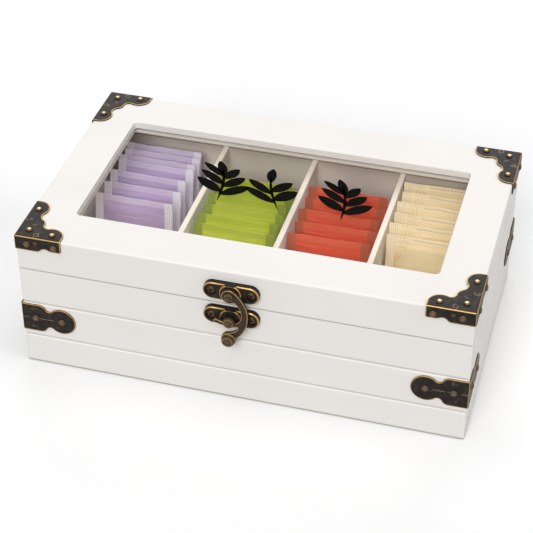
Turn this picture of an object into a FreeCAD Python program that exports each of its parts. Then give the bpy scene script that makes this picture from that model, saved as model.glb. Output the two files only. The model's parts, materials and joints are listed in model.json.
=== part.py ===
import FreeCAD, Part
import math
import os

os.makedirs("parts", exist_ok=True)

# Tea bag box with a hinged glass lid, in millimetres.
# X runs along the front, the front faces -Y, Z is up, and the origin is under the middle of the box.

# Carcase of painted boards
box_length = 300.0
box_depth = 184.0
box_height = 104.0
lid_height = 26.0
seam_gap = 0.4
wall = 8.0
corner_round = 1.2
edge_round = 0.8
plank_height = 27.5
plank_count = 2
groove_width = 2.6
groove_depth = 1.4
floor_thickness = 5.0
floor_rabbet = 4.0
wood_fit = 0.1
nearly = 0.1

# Dividers, placed by the share of the inner half length from the middle of the box
divider_thickness = 4.0
divider_shares = [-0.4296, 0.0387, 0.4916]
divider_drop = 0.8
divider_housing = 2.0
divider_round = 0.8

# Lid top with its glass
top_board = 8.0
top_edge_round = 1.3
window_end_margin = 29.0
window_side_margin = 32.7
window_corner = 3.2
window_edge_round = 0.5
glass_thickness = 2.0
glass_rabbet_width = 4.5
glass_rabbet_depth = 3.0
glass_fit = 0.4
bead_proud = 1.5
bead_round = 1.0

# Pressed corner pieces of the lid
sheet = 1.0
sheet_bend = 1.5
bracket_arm = 31.0
bracket_side_arm = 39.5
bracket_flange = 9.6
bracket_corner_nail = 7.0
bracket_arm_nail_inset = 4.6
bracket_arm_nail_share = 0.76
flange_nail_shares = [0.25, 0.845]
flange_nail_drop = 4.7

# Corner straps of the base
strap_arm = 37.0
strap_height = 22.0
strap_drop = 39.4
strap_lobe = 9.8
strap_corner_nail = 9.0
strap_lobe_nail = 27.4

# Domed nails of the corner pieces
nail_head_radius = 2.4
nail_head_height = 1.3
nail_shank_radius = 0.8
nail_shank = 4.6
nail_fit = 0.05

# Swing latch: its pivot is above the seam on the lid, its post below the seam on the base
latch_place = -4.3
pivot_rise = 12.0
post_drop = 7.6
plate_length = 37.0
plate_width = 12.6
plate_thickness = 4.0
plate_edge = 0.5
boss_radius = 7.2
boss_proud = 1.5
plate_screw_spacing = 26.4
recess_radius = 3.6
recess_depth = 1.2
hook_thickness = 2.2
hook_play = 0.2
hook_edge = 0.4
eye_radius = 5.0
finger_width = 2.6
knob_drop = 34.2
knob_offset = -0.5
knob_base_radius = 5.1
knob_radius = 4.1
knob_height = 3.4
pin_radius = 1.5
pin_head_radius = 3.1
pin_head_height = 1.1
post_neck_radius = 1.4
post_head_radius = 3.8
post_head_height = 2.4
pin_clearance = 0.05

# Plate and hinge screws
plate_screw_head = 2.7
plate_screw_head_height = 1.1
plate_screw_shank_radius = 1.4
plate_screw_bite = 5.0
hinge_screw_head = 2.2
hinge_screw_head_height = 1.1
hinge_screw_shank_radius = 1.0
hinge_screw_bite = 5.0
screw_fit = 0.1

# Hinges at the back: the leaves lie on the bevelled back edges and meet when the lid is open
hinge_margin = 55.0
hinge_width = 28.0
hinge_inset = 3.0
hinge_bevel = math.radians(51.5)
hinge_sheet = 0.9
hinge_barrel = 1.9
hinge_pin = 0.9
hinge_pin_proud = 0.5
hinge_reach = 16.0
hinge_corner = 3.0
hinge_screw_spacing = 16.0
hinge_screw_reach = 11.0
knuckle_width = 10.4
knuckle_gap = 0.25
hinge_fit = 0.15

# Paper sachets that stand in the four compartments, given from the left
sachet_play = 1.4
sachet_drop = 0.3
sachet_belly = 6.4
sachet_seal = 6.0
sachet_paper = 0.6
sachet_lean = 8.0
sachet_shift = 0.6
sachet_lift = 0.3
sachet_names = ["lavender_sachets", "green_sachets", "red_sachets", "cream_sachets"]
sachet_aside_shares = [-0.148, 0, 0, -0.94]
sachet_back_gaps = [20.0, 44.0, 40.0, 15.0]
lavender_pitches = [7.2, 8.6, 7.2, 14.6, 15.0, 14.6]
green_pitches = [11.6, 12.2, 11.4, 12.4, 11.8]
red_pitches = [13.6, 14.4, 13.8, 14.4]
cream_pitches = [12.6, 13.6, 12.8, 13.4, 13.2]

# Places worked out from the sizes above
overrun = 1.0
both_overruns = overrun + overrun
full_turn = 360.0
quarter_turn = 90.0
facing_right, facing_up, facing_left, facing_down = 0, 90.0, 180.0, 270.0
half_length = box_length / 2
half_depth = box_depth / 2
seam = box_height - lid_height
base_top = seam - seam_gap / 2
lid_bottom = seam + seam_gap / 2
board_bottom = box_height - top_board
groove_levels = [seam - plank_height * n for n in range(plank_count, 0, -1)]
inner_half_length = half_length - wall
inner_half_depth = half_depth - wall
divider_places = [inner_half_length * share for share in divider_shares]
window_length = box_length - window_end_margin * 2
window_depth = box_depth - window_side_margin * 2
pivot_level = seam + pivot_rise
post_level = seam - post_drop
strap_level = seam - strap_drop
hinge_place = half_length - hinge_margin
hinge_axis_y = half_depth - hinge_inset
front_face = -half_depth
plate_front = front_face - plate_thickness
boss_front = plate_front - boss_proud
hook_back = boss_front - hook_play
hook_front = hook_back - hook_thickness
stud_seat = hook_front - hook_play


def vec(x, y, z):
    return FreeCAD.Vector(x, y, z)


def block(x0, x1, y0, y1, z0, z1):
    """A box between two corners."""
    return Part.makeBox(x1 - x0, y1 - y0, z1 - z0, vec(x0, y0, z0))


def outline(place, start, steps):
    """A closed face of lines and three point arcs. A step is (end) or (middle, end)."""
    edges = []
    here = start
    for step in steps:
        if len(step) == 1:
            edges.append(Part.makeLine(place(*here), place(*step[0])))
        else:
            edges.append(Part.Arc(place(*here), place(*step[0]), place(*step[1])).toShape())
        here = step[-1]
    return Part.Face(Part.Wire(edges))


def line_to(point):
    return (point,)


def arc_to(middle, end):
    return (middle, end)


def edges_where(shape, test):
    return [edge for edge in shape.Edges if test(edge.BoundBox)]


def is_upright(bounds):
    return bounds.XLength < nearly and bounds.YLength < nearly


def rounded_block(x0, x1, y0, y1, z0, z1, radius):
    """A box with its four upright edges rounded."""
    body = block(x0, x1, y0, y1, z0, z1)
    return body.makeFillet(radius, edges_where(body, is_upright))


def turned(profile, centre, direction):
    """A solid of revolution. The profile holds (radius, height) steps along the direction."""
    start, steps = profile
    face = outline(lambda r, h: vec(r, 0, h), start, steps)
    solid = face.revolve(vec(0, 0, 0), vec(0, 0, 1), full_turn)
    turn = FreeCAD.Rotation(vec(0, 0, 1), direction)
    solid.Placement = FreeCAD.Placement(centre, turn)
    return solid


def dome(radius, height):
    """The arc of a round head from its rim up to its crown."""
    ball = (radius ** 2 + height ** 2) / (2 * height)
    half_angle = math.asin(radius / ball) / 2
    middle = (ball * math.sin(half_angle), height - ball * (1 - math.cos(half_angle)))
    return arc_to(middle, (0, height))


def domed_fastener(head, height, shank_radius, shank, centre, direction):
    """A nail or screw: a domed head on its seat and a plain shank below it."""
    steps = [
        line_to((shank_radius, -shank)),
        line_to((shank_radius, 0)),
        line_to((head, 0)),
        dome(head, height),
        line_to((0, -shank)),
    ]
    return turned(((0, -shank), steps), centre, direction)


def drilling(radius, depth, centre, direction):
    """The hole for a shank, from above the seat down into what is behind it."""
    start = centre + direction * overrun
    return Part.makeCylinder(radius, depth + overrun, start, direction * -1)


def mirrored_x(shape):
    return shape.mirror(vec(0, 0, 0), vec(1, 0, 0))


def mirrored_y(shape):
    return shape.mirror(vec(0, 0, 0), vec(0, 1, 0))


def four_corners(shape):
    """The shape at the front left corner, copied to the four corners."""
    return {
        "front_left": shape,
        "front_right": mirrored_x(shape),
        "back_left": mirrored_y(shape),
        "back_right": mirrored_x(mirrored_y(shape)),
    }


def frame_side(run, offset, thickness, profile, quarter_turns):
    """One mitred side of a frame, drawn at the front as (depth, height) and turned into place."""
    start, steps = profile
    half = run / 2
    face = outline(lambda d, z: vec(-half, -offset + d, z), start, steps)
    side = face.extrude(vec(run, 0, 0))
    bounds = side.BoundBox
    mitre = Part.makePolygon([
        vec(-half, -offset, bounds.ZMin - overrun),
        vec(half, -offset, bounds.ZMin - overrun),
        vec(half - thickness, thickness - offset, bounds.ZMin - overrun),
        vec(thickness - half, thickness - offset, bounds.ZMin - overrun),
        vec(-half, -offset, bounds.ZMin - overrun),
    ])
    wedge = Part.Face(mitre).extrude(vec(0, 0, bounds.ZLength + both_overruns))
    side = side.common(wedge)
    side.rotate(vec(0, 0, 0), vec(0, 0, 1), quarter_turn * quarter_turns)
    return side


def round_corner(centre, radius, start_angle, turn=-quarter_turn):
    """A quarter arc from its start angle in degrees, clockwise unless the turn says otherwise."""
    middle = math.radians(start_angle + turn / 2)
    end = math.radians(start_angle + turn)
    return arc_to(
        (centre[0] + radius * math.cos(middle), centre[1] + radius * math.sin(middle)),
        (centre[0] + radius * math.cos(end), centre[1] + radius * math.sin(end)),
    )


def groove_steps():
    """The V grooves of the outer face, from the lowest up."""
    steps = []
    for level in groove_levels:
        steps.append(line_to((0, level - groove_width / 2)))
        steps.append(line_to((groove_depth, level)))
        steps.append(line_to((0, level + groove_width / 2)))
    return steps


def base_wall_profile():
    """The section of a base wall: rabbet for the floor inside, grooves and round edges outside."""
    steps = [round_corner((edge_round, edge_round), edge_round, facing_down)]
    steps += groove_steps()
    steps += [
        line_to((0, base_top - edge_round)),
        round_corner((edge_round, base_top - edge_round), edge_round, facing_left),
        line_to((wall, base_top)),
        line_to((wall, floor_thickness)),
        line_to((wall - floor_rabbet, floor_thickness)),
        line_to((wall - floor_rabbet, 0)),
        line_to((edge_round, 0)),
    ]
    return (edge_round, 0), steps


def lid_rail_profile():
    """The section of a lid rail, with its lower outer edge rounded."""
    start = (edge_round, lid_bottom)
    steps = [
        round_corner((edge_round, lid_bottom + edge_round), edge_round, facing_down),
        line_to((0, board_bottom)),
        line_to((wall, board_bottom)),
        line_to((wall, lid_bottom)),
        line_to(start),
    ]
    return start, steps


def hinge_place_yz(x0):
    """Puts (depth behind the hinge axis, height over it) at one X."""
    return lambda y, z: vec(x0, hinge_axis_y + y, seam + z)


def back_bevel():
    """What both back edges lose along the seam, so that the lid can turn back past upright."""
    beyond = hinge_inset + overrun
    rise = beyond * math.tan(hinge_bevel)
    steps = [line_to((beyond, rise)), line_to((beyond, -rise)), line_to((0, 0))]
    length = box_length + both_overruns
    return outline(hinge_place_yz(-length / 2), (0, 0), steps).extrude(vec(length, 0, 0))


def carcase(profile, names):
    """Four mitred walls, named from the front anticlockwise."""
    envelope = rounded_block(
        -half_length, half_length, -half_depth, half_depth, -overrun, box_height + overrun, corner_round)
    sides = {}
    for turns, name in enumerate(names):
        across = turns % 2
        run = box_depth if across else box_length
        offset = half_length if across else half_depth
        side = frame_side(run, offset, wall, profile, turns)
        sides[name] = side.common(envelope).cut(back_bevel())
    return sides


# Corner pieces and their nails, drawn at the front left corner and copied by mirroring.
# The top flange's shares are of its front arm and of its side arm. In the other two tables a
# share is (along the arm, across it), as a part of the arm and of the flange or half the strap.

bracket_edge_shares = [
    (1.0, 0.056), (0.923, 0.243), (0.6, 0.281), (0.523, 0.299), (0.474, 0.362), (0.458, 0.441),
    (0.392, 0.499), (0.31, 0.57), (0.3, 0.656), (0.303, 0.921), (0.071, 1.0)]
flange_edge_shares = [
    (0.458, 1.0), (0.529, 0.927), (0.568, 0.8), (0.639, 0.71), (0.716, 0.78), (0.784, 0.845)]
strap_edge_shares = [(0.33, 1.0), (0.403, 0.91), (0.449, 0.72), (0.516, 0.6)]
strap_lobe_angle = math.radians(127.0)
corner_x = -half_length
corner_y = -half_depth


def bracket_top_waste():
    """What is cut away from the top of a lid corner piece, along two lobes and the nose between."""
    edge = [(u * bracket_arm, v * bracket_side_arm) for u, v in bracket_edge_shares]
    right = bracket_arm + overrun
    back = bracket_side_arm + overrun
    arcs = [arc_to(middle, end) for middle, end in zip(edge[1::2], edge[2::2])]
    corners = [(edge[-1][0], back), (right, back), (right, edge[0][1])]
    steps = [line_to(edge[0])] + arcs + [line_to(point) for point in corners]
    place = lambda u, v: vec(corner_x + u, corner_y + v, box_height - overrun)
    face = outline(place, corners[-1], steps)
    return face.extrude(vec(0, 0, sheet + both_overruns))


def flange_waste(arm, place, through):
    """What is cut away below the wavy lower edge of one side flange."""
    edge = [(u * arm, w * bracket_flange) for u, w in flange_edge_shares]
    beyond = arm + overrun
    below = bracket_flange + overrun
    steps = [
        line_to(edge[0]),
        arc_to(edge[1], edge[2]),
        arc_to(edge[3], edge[4]),
        line_to(edge[5]),
        line_to((arm - corner_round, edge[5][1])),
        round_corner((arm - corner_round, edge[5][1] - corner_round), corner_round, facing_up),
        line_to((beyond, edge[5][1] - corner_round)),
        line_to((beyond, below)),
        line_to((-sheet - overrun, below)),
        line_to((-sheet - overrun, edge[0][1])),
    ]
    return outline(place, (-sheet - overrun, edge[0][1]), steps).extrude(through)


def bent_corner(z0, z1, front_arm, side_arm, with_top):
    """A block and the block inside it, whose difference is the bent sheet round a corner."""
    outer = block(corner_x - sheet, corner_x + front_arm, corner_y - sheet, corner_y + side_arm, z0, z1)
    inner = block(corner_x, corner_x + front_arm + overrun, corner_y, corner_y + side_arm + overrun,
                  z0 - overrun, z1 - sheet if with_top else z1 + overrun)

    def bent(bounds):
        on_left = bounds.XMax < corner_x + nearly
        on_front = bounds.YMax < corner_y + nearly
        on_top = with_top and bounds.ZMin > z1 - sheet - nearly
        return (on_left and on_front) or (on_top and (on_left or on_front))

    outer = outer.makeFillet(sheet_bend, edges_where(outer, bent))
    inner = inner.makeFillet(sheet_bend - sheet, edges_where(inner, bent))
    return outer.cut(inner)


def lid_corner_piece():
    low = box_height - bracket_flange
    piece = bent_corner(low, box_height + sheet, bracket_arm, bracket_side_arm, True)
    piece = piece.cut(bracket_top_waste())
    front = lambda u, w: vec(corner_x + u, corner_y - sheet - overrun, box_height - w)
    side = lambda u, w: vec(corner_x - sheet - overrun, corner_y + u, box_height - w)
    piece = piece.cut(flange_waste(bracket_arm, front, vec(0, sheet + overrun, 0)))
    return piece.cut(flange_waste(bracket_side_arm, side, vec(sheet + overrun, 0, 0)))


def strap_face(place, through):
    """The outline of one leg of a base strap: a square end at the corner and a round lobe."""
    half = strap_height / 2
    edge = [(u * strap_arm, w * half) for u, w in strap_edge_shares]
    centre = strap_arm - strap_lobe
    end = (centre + strap_lobe * math.cos(strap_lobe_angle), strap_lobe * math.sin(strap_lobe_angle))
    down = lambda point: (point[0], -point[1])
    start = (-sheet - overrun, -half)
    steps = [
        line_to((-sheet - overrun, half)),
        line_to(edge[0]),
        arc_to(edge[1], edge[2]),
        arc_to(edge[3], end),
        arc_to((strap_arm, 0), down(end)),
        arc_to(down(edge[3]), down(edge[2])),
        arc_to(down(edge[1]), down(edge[0])),
        line_to(start),
    ]
    return outline(place, start, steps).extrude(through)


def base_strap():
    low = strap_level - strap_height / 2
    bent = bent_corner(low, low + strap_height, strap_arm, strap_arm, False)
    front = lambda u, w: vec(corner_x + u, corner_y - sheet - overrun, strap_level + w)
    side = lambda u, w: vec(corner_x - sheet - overrun, corner_y + u, strap_level + w)
    legs = strap_face(front, vec(0, sheet + overrun, 0))
    legs = legs.fuse(strap_face(side, vec(sheet + overrun, 0, 0)))
    return bent.common(legs)


def lid_nail_sites():
    """Seats and outward directions of the seven nails of the front left lid corner piece."""
    top = box_height + sheet
    corner = bracket_corner_nail
    inset = bracket_arm_nail_inset
    on_top = (
        (corner, corner),
        (bracket_arm * bracket_arm_nail_share, inset),
        (inset, bracket_side_arm * bracket_arm_nail_share),
    )
    sites = [(vec(corner_x + x, corner_y + y, top), vec(0, 0, 1)) for x, y in on_top]
    level = box_height - flange_nail_drop
    for share in flange_nail_shares:
        sites.append((vec(corner_x + bracket_arm * share, corner_y - sheet, level), vec(0, -1, 0)))
        sites.append((vec(corner_x - sheet, corner_y + bracket_side_arm * share, level), vec(-1, 0, 0)))
    return sites


def base_nail_sites():
    """Seats and outward directions of the four nails of the front left strap."""
    sites = []
    for along in (strap_corner_nail, strap_lobe_nail):
        sites.append((vec(corner_x + along, corner_y - sheet, strap_level), vec(0, -1, 0)))
        sites.append((vec(corner_x - sheet, corner_y + along, strap_level), vec(-1, 0, 0)))
    return sites


def nails(sites):
    return [domed_fastener(nail_head_radius, nail_head_height, nail_shank_radius, nail_shank, *site)
            for site in sites]


def nail_holes(sites):
    depth = nail_shank + nail_fit
    holes = [drilling(nail_shank_radius + nail_fit, depth, *site) for site in sites]
    return holes[0].multiFuse(holes[1:])


def all_corners(shapes):
    """Every shape at all four corners, as one compound."""
    copies = []
    for shape in shapes:
        copies += four_corners(shape).values()
    return Part.makeCompound(copies)


# Swing latch. The hook hangs straight down from its pivot. Its shares are parts of its reach,
# and its angles are degrees from straight down, or about the middle of the knob.

hook_arm_shares = {
    "bulge": (0.622, -0.74),
    "lower_inside": (0.184, -1.388),
    "bite_side": (0.3, -1.255),
    "bite_corner": (0.296, -1.215),
    "throat": (0.335, -0.945),
    "upper_inside": (0.403, -0.714),
    "under_eye": (0.352, -0.439),
}
hook_reach = pivot_level - post_level
eye_right_angle = 143.0
eye_left_angle = 270.0
eye_low_angle = 40.0
knob_right_angle = 15.0
knob_low_angle = -135.0
knob_top_angle = 108.0
finger_root_angle = 9.0
finger_low_root_angle = 11.0
finger_back_angle = -20.0
finger_end_angle = -27.0
finger_tip_angle = -26.0


def hook_point(name):
    u, w = hook_arm_shares[name]
    return (u * hook_reach, w * hook_reach)


def swing_point(radius, degrees):
    """A point at an angle from straight down, about the pivot, positive towards +X."""
    angle = math.radians(degrees)
    return (radius * math.sin(angle), -radius * math.cos(angle))


def knob_point(degrees):
    angle = math.radians(degrees)
    return (knob_offset + knob_base_radius * math.cos(angle), knob_base_radius * math.sin(angle) - knob_drop)


def hook_outline():
    """The hook seen from the front: eye, bulging arm, finger under the post and round knob seat."""
    top = hook_reach + post_neck_radius + hook_play
    low = top + finger_width
    middle = (finger_root_angle + finger_tip_angle) / 2
    start = swing_point(eye_radius, eye_right_angle)
    tip_outside = swing_point((top + low) / 2, finger_end_angle)
    steps = [
        arc_to(hook_point("bulge"), knob_point(knob_right_angle)),
        arc_to(knob_point(knob_low_angle), knob_point(knob_top_angle)),
        arc_to(hook_point("lower_inside"), hook_point("bite_side")),
        arc_to(hook_point("bite_corner"), swing_point(low, finger_low_root_angle)),
        arc_to(swing_point(low, middle), swing_point(low, finger_back_angle)),
        arc_to(tip_outside, swing_point(top, finger_tip_angle)),
        arc_to(swing_point(top, middle), swing_point(top, finger_root_angle)),
        arc_to(hook_point("throat"), hook_point("upper_inside")),
        arc_to(hook_point("under_eye"), swing_point(eye_radius, eye_low_angle)),
        arc_to(swing_point(eye_radius, eye_left_angle), start),
    ]
    return start, steps


def latch_hook():
    start, steps = hook_outline()
    place = lambda u, w: vec(latch_place + u, hook_front, pivot_level + w)
    hook = outline(place, start, steps).extrude(vec(0, hook_thickness, 0))
    for x, z, radius in ((0, 0, pin_radius), (knob_offset, -knob_drop, pin_radius)):
        centre = vec(latch_place + x, hook_front, pivot_level + z)
        hook = hook.cut(drilling(radius + pin_clearance, hook_thickness + overrun, centre, vec(0, -1, 0)))
    return hook


def stadium(length, width, level, y0, y1):
    """A plate with round ends, upright at the front, between two depths."""
    half = length / 2 - width / 2
    radius = width / 2
    place = lambda u, w: vec(latch_place + u, y1, level + w)
    steps = [
        line_to((half, -radius)),
        arc_to((half + radius, 0), (half, radius)),
        line_to((-half, radius)),
        arc_to((-half - radius, 0), (-half, -radius)),
    ]
    return outline(place, (-half, -radius), steps).extrude(vec(0, y0 - y1, 0))


def latch_plate(level):
    """A cast plate with a round boss in the middle and two countersunk screw seats."""
    plate = stadium(plate_length, plate_width, level, plate_front, front_face)
    rim = edges_where(plate, lambda bounds: bounds.YMax < plate_front + plate_edge / 2)
    plate = plate.makeChamfer(plate_edge, rim)
    centre = vec(latch_place, plate_front + overrun, level)
    boss = Part.makeCylinder(boss_radius, boss_proud + overrun, centre, vec(0, -1, 0))
    boss_rim = edges_where(boss, lambda bounds: bounds.YMax < boss_front + plate_edge / 2)
    boss = boss.makeChamfer(plate_edge, boss_rim)
    boss = boss.common(stadium(plate_length, plate_width, level, boss_front, front_face))
    plate = plate.fuse(boss)
    bore = (pin_radius if level == pivot_level else post_neck_radius) + pin_clearance
    seat = vec(latch_place, boss_front, level)
    plate = plate.cut(drilling(bore, plate_thickness + boss_proud + overrun, seat, vec(0, -1, 0)))
    for site, outward in plate_screw_sites(level):
        recess = Part.makeCylinder(recess_radius, recess_depth + overrun, site, outward)
        plate = plate.cut(recess)
        plate = plate.cut(drilling(plate_screw_shank_radius + screw_fit, plate_thickness, site, outward))
    return plate


def plate_screw_sites(level):
    """Seats and outward directions of the two screws of a latch plate."""
    seat = plate_front + recess_depth
    half = plate_screw_spacing / 2
    return [(vec(latch_place + x, seat, level), vec(0, -1, 0)) for x in (-half, half)]


def plate_screws(level):
    shank = plate_thickness - recess_depth + plate_screw_bite
    return [domed_fastener(plate_screw_head, plate_screw_head_height, plate_screw_shank_radius, shank, *site)
            for site in plate_screw_sites(level)]


def plate_screw_holes(level):
    depth = plate_thickness - recess_depth + plate_screw_bite + screw_fit
    radius = plate_screw_shank_radius + screw_fit
    holes = [drilling(radius, depth, *site) for site in plate_screw_sites(level)]
    return holes[0].fuse(holes[1])


def headed_stud(shank_radius, head_radius, head_height, seat, foot, x, level):
    """A rivet along Y: shank from its foot to its seat and a soft edged head in front of it."""
    edge_share = 0.35
    soft = head_height * edge_share
    shank = foot - seat
    steps = [
        line_to((shank_radius, -shank)),
        line_to((shank_radius, 0)),
        line_to((head_radius, 0)),
        line_to((head_radius, head_height - soft)),
        round_corner((head_radius - soft, head_height - soft), soft, facing_right, quarter_turn),
        line_to((0, head_height)),
        line_to((0, -shank)),
    ]
    return turned(((0, -shank), steps), vec(x, seat, level), vec(0, -1, 0))


def latch_knob():
    """The finger knob: a foot on the hook, a narrow waist, a domed button and a rivet through the hook."""
    foot_share, waist_share, button_share, rim_share = 0.22, 0.82, 0.5, 0.78
    crown_radius_share, crown_height_share, face_radius_share = 0.92, 0.93, 0.71
    steps = [
        line_to((pin_radius, -hook_thickness)),
        line_to((pin_radius, 0)),
        line_to((knob_base_radius - hook_edge, 0)),
        line_to((knob_base_radius - hook_edge, knob_height * foot_share)),
        line_to((knob_radius * waist_share, knob_height * button_share)),
        line_to((knob_radius, knob_height * button_share)),
        line_to((knob_radius, knob_height * rim_share)),
        arc_to((knob_radius * crown_radius_share, knob_height * crown_height_share),
               (knob_radius * face_radius_share, knob_height)),
        line_to((0, knob_height)),
        line_to((0, -hook_thickness)),
    ]
    centre = vec(latch_place + knob_offset, hook_front, pivot_level - knob_drop)
    return turned(((0, -hook_thickness), steps), centre, vec(0, -1, 0))


# Hinges

def along_bevel(distance, depth):
    """A point on the lower bevel: a distance from the hinge axis and a depth into the wood."""
    return (distance * math.cos(hinge_bevel) - depth * math.sin(hinge_bevel),
            -distance * math.sin(hinge_bevel) - depth * math.cos(hinge_bevel))


def leaf_sheet(x0, x1):
    """The bent sheet of the lower leaf: along the bevel, over the edge and down the back face."""
    into_barrel_share = 0.7
    inner = hinge_barrel * into_barrel_share
    outer_run = (hinge_inset + hinge_sheet) / math.cos(hinge_bevel)
    inner_run = (hinge_inset + hinge_sheet * math.sin(hinge_bevel)) / math.cos(hinge_bevel)
    start = along_bevel(inner, 0)
    steps = [
        line_to(along_bevel(outer_run, 0)),
        line_to((hinge_inset + hinge_sheet, -hinge_reach)),
        line_to((hinge_inset, -hinge_reach)),
        line_to(along_bevel(inner_run, hinge_sheet)),
        line_to(along_bevel(inner, hinge_sheet)),
        line_to(start),
    ]
    return outline(hinge_place_yz(x0), start, steps).extrude(vec(x1 - x0, 0, 0))


def barrel(radius, x0, x1):
    return Part.makeCylinder(radius, x1 - x0, vec(x0, hinge_axis_y, seam), vec(1, 0, 0))


def knuckle_spans(middle):
    """X ranges of the knuckles of the middle leaf or of the outer leaf, about the hinge middle."""
    if middle:
        return [(-knuckle_width / 2, knuckle_width / 2)]
    start = knuckle_width / 2 + knuckle_gap
    return [(-hinge_width / 2, -start), (start, hinge_width / 2)]


def hinge_leaf(place, middle):
    """The lower leaf of a hinge at one place along the back."""
    half = hinge_width / 2
    leaf = leaf_sheet(place - half, place + half)
    for x0, x1 in knuckle_spans(not middle):
        leaf = leaf.cut(barrel(hinge_barrel + hinge_fit, place + x0 - knuckle_gap, place + x1 + knuckle_gap))

    def free_corner(bounds):
        return max(bounds.XLength, bounds.ZLength) < nearly and bounds.ZMax < seam - hinge_reach + nearly

    leaf = leaf.makeFillet(hinge_corner, edges_where(leaf, free_corner))
    for x0, x1 in knuckle_spans(middle):
        leaf = leaf.fuse(barrel(hinge_barrel, place + x0, place + x1))
    leaf = leaf.cut(barrel(hinge_pin + pin_clearance, place - half - overrun, place + half + overrun))
    for site, outward in hinge_screw_sites(place):
        leaf = leaf.cut(drilling(hinge_screw_shank_radius + screw_fit, hinge_sheet + overrun, site, outward))
    return leaf


def hinge_screw_sites(place):
    """Seats and outward directions of the two screws of a lower leaf."""
    y = half_depth + hinge_sheet
    z = seam - hinge_screw_reach
    return [(vec(place + side * hinge_screw_spacing / 2, y, z), vec(0, 1, 0)) for side in (-1, 1)]


def hinge_screws():
    shank = hinge_sheet + hinge_screw_bite
    return [domed_fastener(hinge_screw_head, hinge_screw_head_height, hinge_screw_shank_radius, shank, *site)
            for place in (-hinge_place, hinge_place) for site in hinge_screw_sites(place)]


def hinge_cut():
    """What the lower wood loses for both hinges: barrel trough, bevel recess and screw holes."""
    cuts = []
    run = (hinge_inset + overrun) / math.cos(hinge_bevel)
    shallow = -overrun
    deep = hinge_sheet + hinge_fit / 2
    start = along_bevel(0, shallow)
    steps = [
        line_to(along_bevel(run, shallow)),
        line_to(along_bevel(run, deep)),
        line_to(along_bevel(0, deep)),
        line_to(start),
    ]
    for place in (-hinge_place, hinge_place):
        x0 = place - hinge_width / 2 - hinge_pin_proud - hinge_fit
        x1 = place + hinge_width / 2 + hinge_pin_proud + hinge_fit
        cuts.append(barrel(hinge_barrel + hinge_fit, x0, x1))
        flush0 = place - hinge_width / 2 - hinge_fit
        recess = outline(hinge_place_yz(flush0), start, steps)
        cuts.append(recess.extrude(vec(hinge_width + hinge_fit + hinge_fit, 0, 0)))
        depth = hinge_sheet + hinge_screw_bite + screw_fit
        for site, outward in hinge_screw_sites(place):
            cuts.append(drilling(hinge_screw_shank_radius + screw_fit, depth, site, outward))
    return cuts[0].multiFuse(cuts[1:])


def over_seam(shape):
    """The same shape on the other side of the seam."""
    return shape.mirror(vec(0, 0, seam), vec(0, 0, 1))


def hinge_pin_at(place):
    half = hinge_width / 2 + hinge_pin_proud
    pin = barrel(hinge_pin, place - half, place + half)
    return pin.makeChamfer(hinge_pin_proud / 2, edges_where(pin, lambda b: b.XLength < nearly))


# Lid top

def lid_top():
    board = rounded_block(
        -half_length, half_length, -half_depth, half_depth, board_bottom, box_height, corner_round)
    board = board.makeFillet(top_edge_round, edges_where(board, lambda b: b.ZMin > box_height - nearly))
    opening = rounded_block(-window_length / 2, window_length / 2, -window_depth / 2, window_depth / 2,
                            board_bottom - overrun, box_height + overrun, window_corner)
    board = board.cut(opening)

    def window_rim(bounds):
        within_x = abs(bounds.XMax) < window_length / 2 + nearly
        within_y = abs(bounds.YMax) < window_depth / 2 + nearly
        return within_x and within_y and bounds.ZMin > box_height - nearly

    board = board.makeFillet(window_edge_round, edges_where(board, window_rim))
    rabbet_x = window_length / 2 + glass_rabbet_width
    rabbet_y = window_depth / 2 + glass_rabbet_width
    rabbet = block(-rabbet_x, rabbet_x, -rabbet_y, rabbet_y, board_bottom - overrun,
                   board_bottom + glass_rabbet_depth)
    return board.cut(rabbet)


def window_glass():
    x = window_length / 2 + glass_rabbet_width - glass_fit
    y = window_depth / 2 + glass_rabbet_width - glass_fit
    top = board_bottom + glass_rabbet_depth
    return block(-x, x, -y, y, top - glass_thickness, top)


def glass_beads():
    """Four mitred strips that hold the glass up in its rabbet."""
    top = board_bottom + glass_rabbet_depth - glass_thickness
    low = board_bottom - bead_proud
    width = glass_rabbet_width - glass_fit
    profile = ((0, low), [
        line_to((0, top)),
        line_to((width, top)),
        line_to((width, low + bead_round)),
        round_corner((width - bead_round, low + bead_round), bead_round, facing_right),
        line_to((0, low)),
    ])
    beads = {}
    for turns, name in enumerate(("front", "right", "back", "left")):
        across = turns % 2
        half_run = (window_depth if across else window_length) / 2 + glass_rabbet_width - wood_fit / 2
        offset = (window_length if across else window_depth) / 2 + glass_rabbet_width - wood_fit / 2
        beads["glass_bead_" + name] = frame_side(half_run + half_run, offset, width, profile, turns)
    return beads


# Inside of the base

def divider(place, housed):
    """A divider board, or with housed false the housing that it slides into."""
    spare = 0 if housed else wood_fit
    half = divider_thickness / 2 + spare
    reach = inner_half_depth + divider_housing - wood_fit + spare
    top = base_top - divider_drop if housed else base_top + overrun
    board = block(place - half, place + half, -reach, reach, floor_thickness, top)
    if not housed:
        return board
    top_edges = edges_where(board, lambda b: b.ZMin > top - nearly and b.YLength > wall)
    return board.makeFillet(divider_round, top_edges)


def floor_panel():
    x = inner_half_length + floor_rabbet - wood_fit
    y = inner_half_depth + floor_rabbet - wood_fit
    return block(-x, x, -y, y, 0, floor_thickness)


def compartments():
    """The two ends of each compartment along X, from the left."""
    lefts = [-inner_half_length] + [place + divider_thickness / 2 for place in divider_places]
    rights = [place - divider_thickness / 2 for place in divider_places] + [inner_half_length]
    return list(zip(lefts, rights))


def sachet_width():
    """All sachets fit the narrowest compartment with play at both sides."""
    return min(right - left for left, right in compartments()) - sachet_play - sachet_play


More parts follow.
